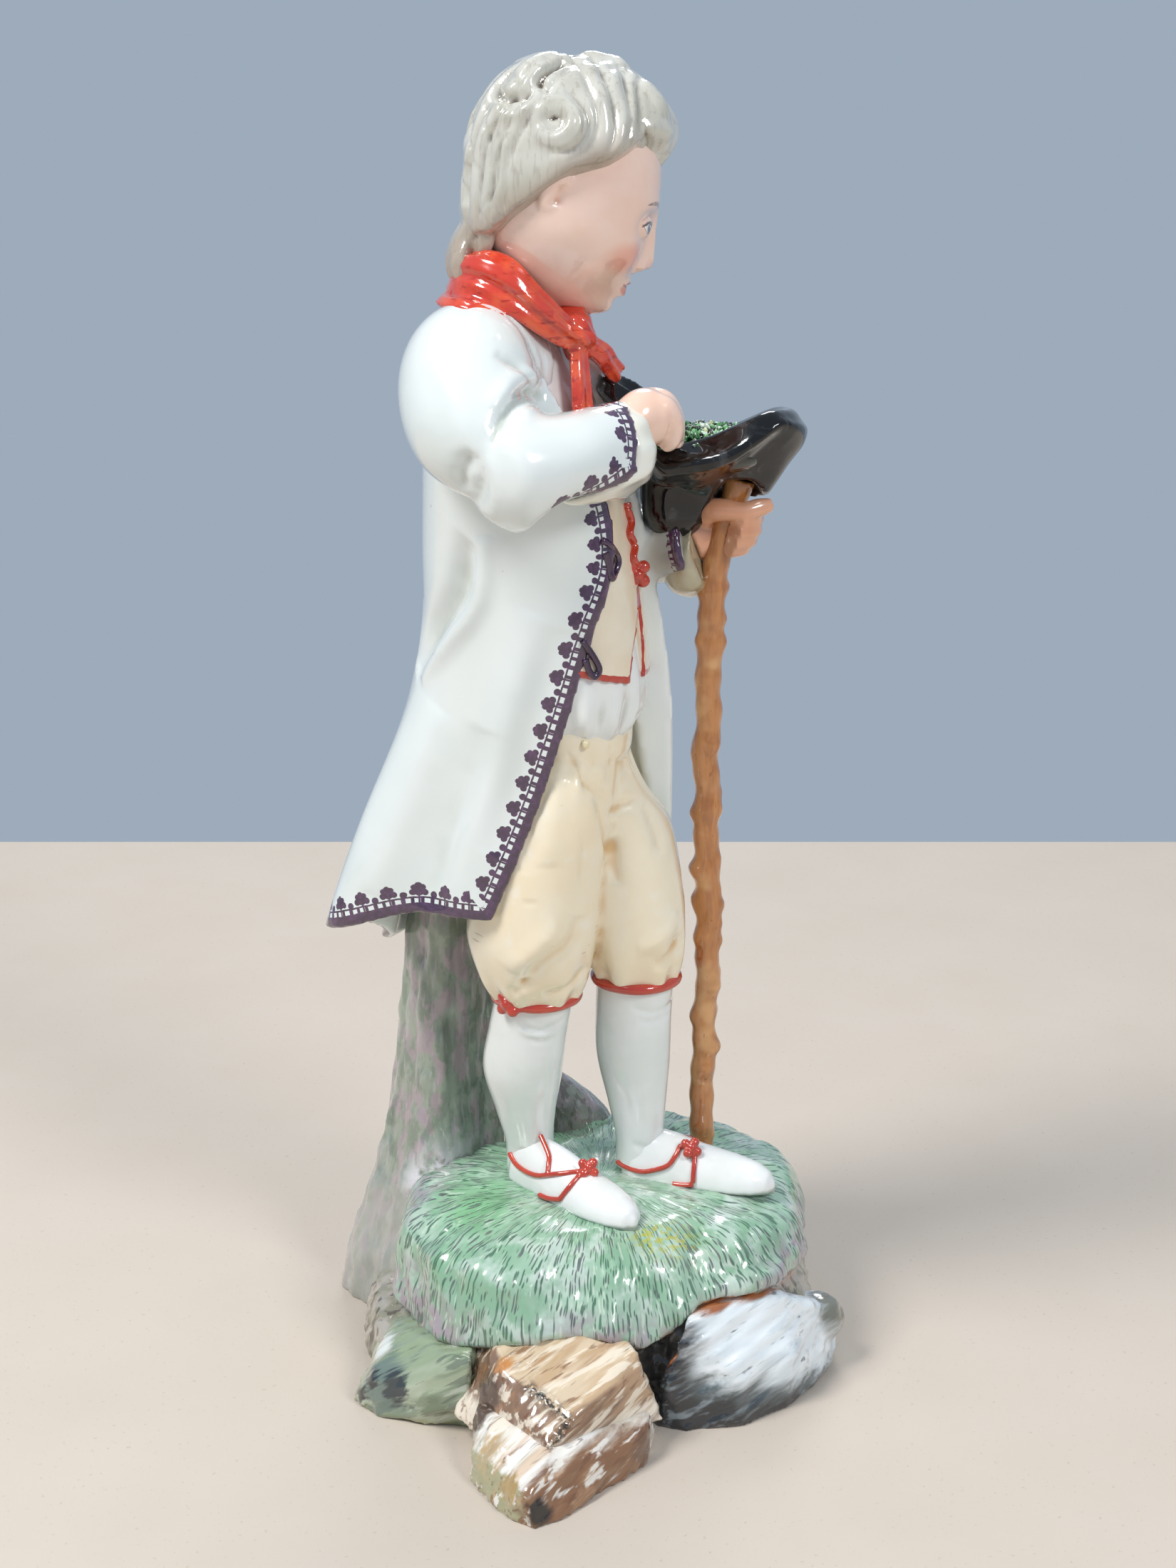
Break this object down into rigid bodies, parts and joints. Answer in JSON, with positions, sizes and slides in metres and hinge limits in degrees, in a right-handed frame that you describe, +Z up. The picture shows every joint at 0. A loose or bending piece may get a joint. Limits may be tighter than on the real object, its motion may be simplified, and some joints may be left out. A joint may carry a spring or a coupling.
{
  "type": "porcelain figure with staff",
  "caption": "Painted porcelain figure of a standing boy who leans on a tree stump, with a leaf-filled hat, a staff in his fist and a rocky turf base.",
  "frame": {"origin": "on the flat underside of the base, under the feet", "axes": "+Z up; the figure's body faces -Y and its left side is +X"},
  "size_m": [0.0914, 0.0919, 0.2118],
  "materials": {
    "porcelain": "gloss",
    "staff": "gloss"
  },
  "bodies": {
    "root": {"figure_on_base": "porcelain", "staff": "staff"}
  },
  "joints": []
}
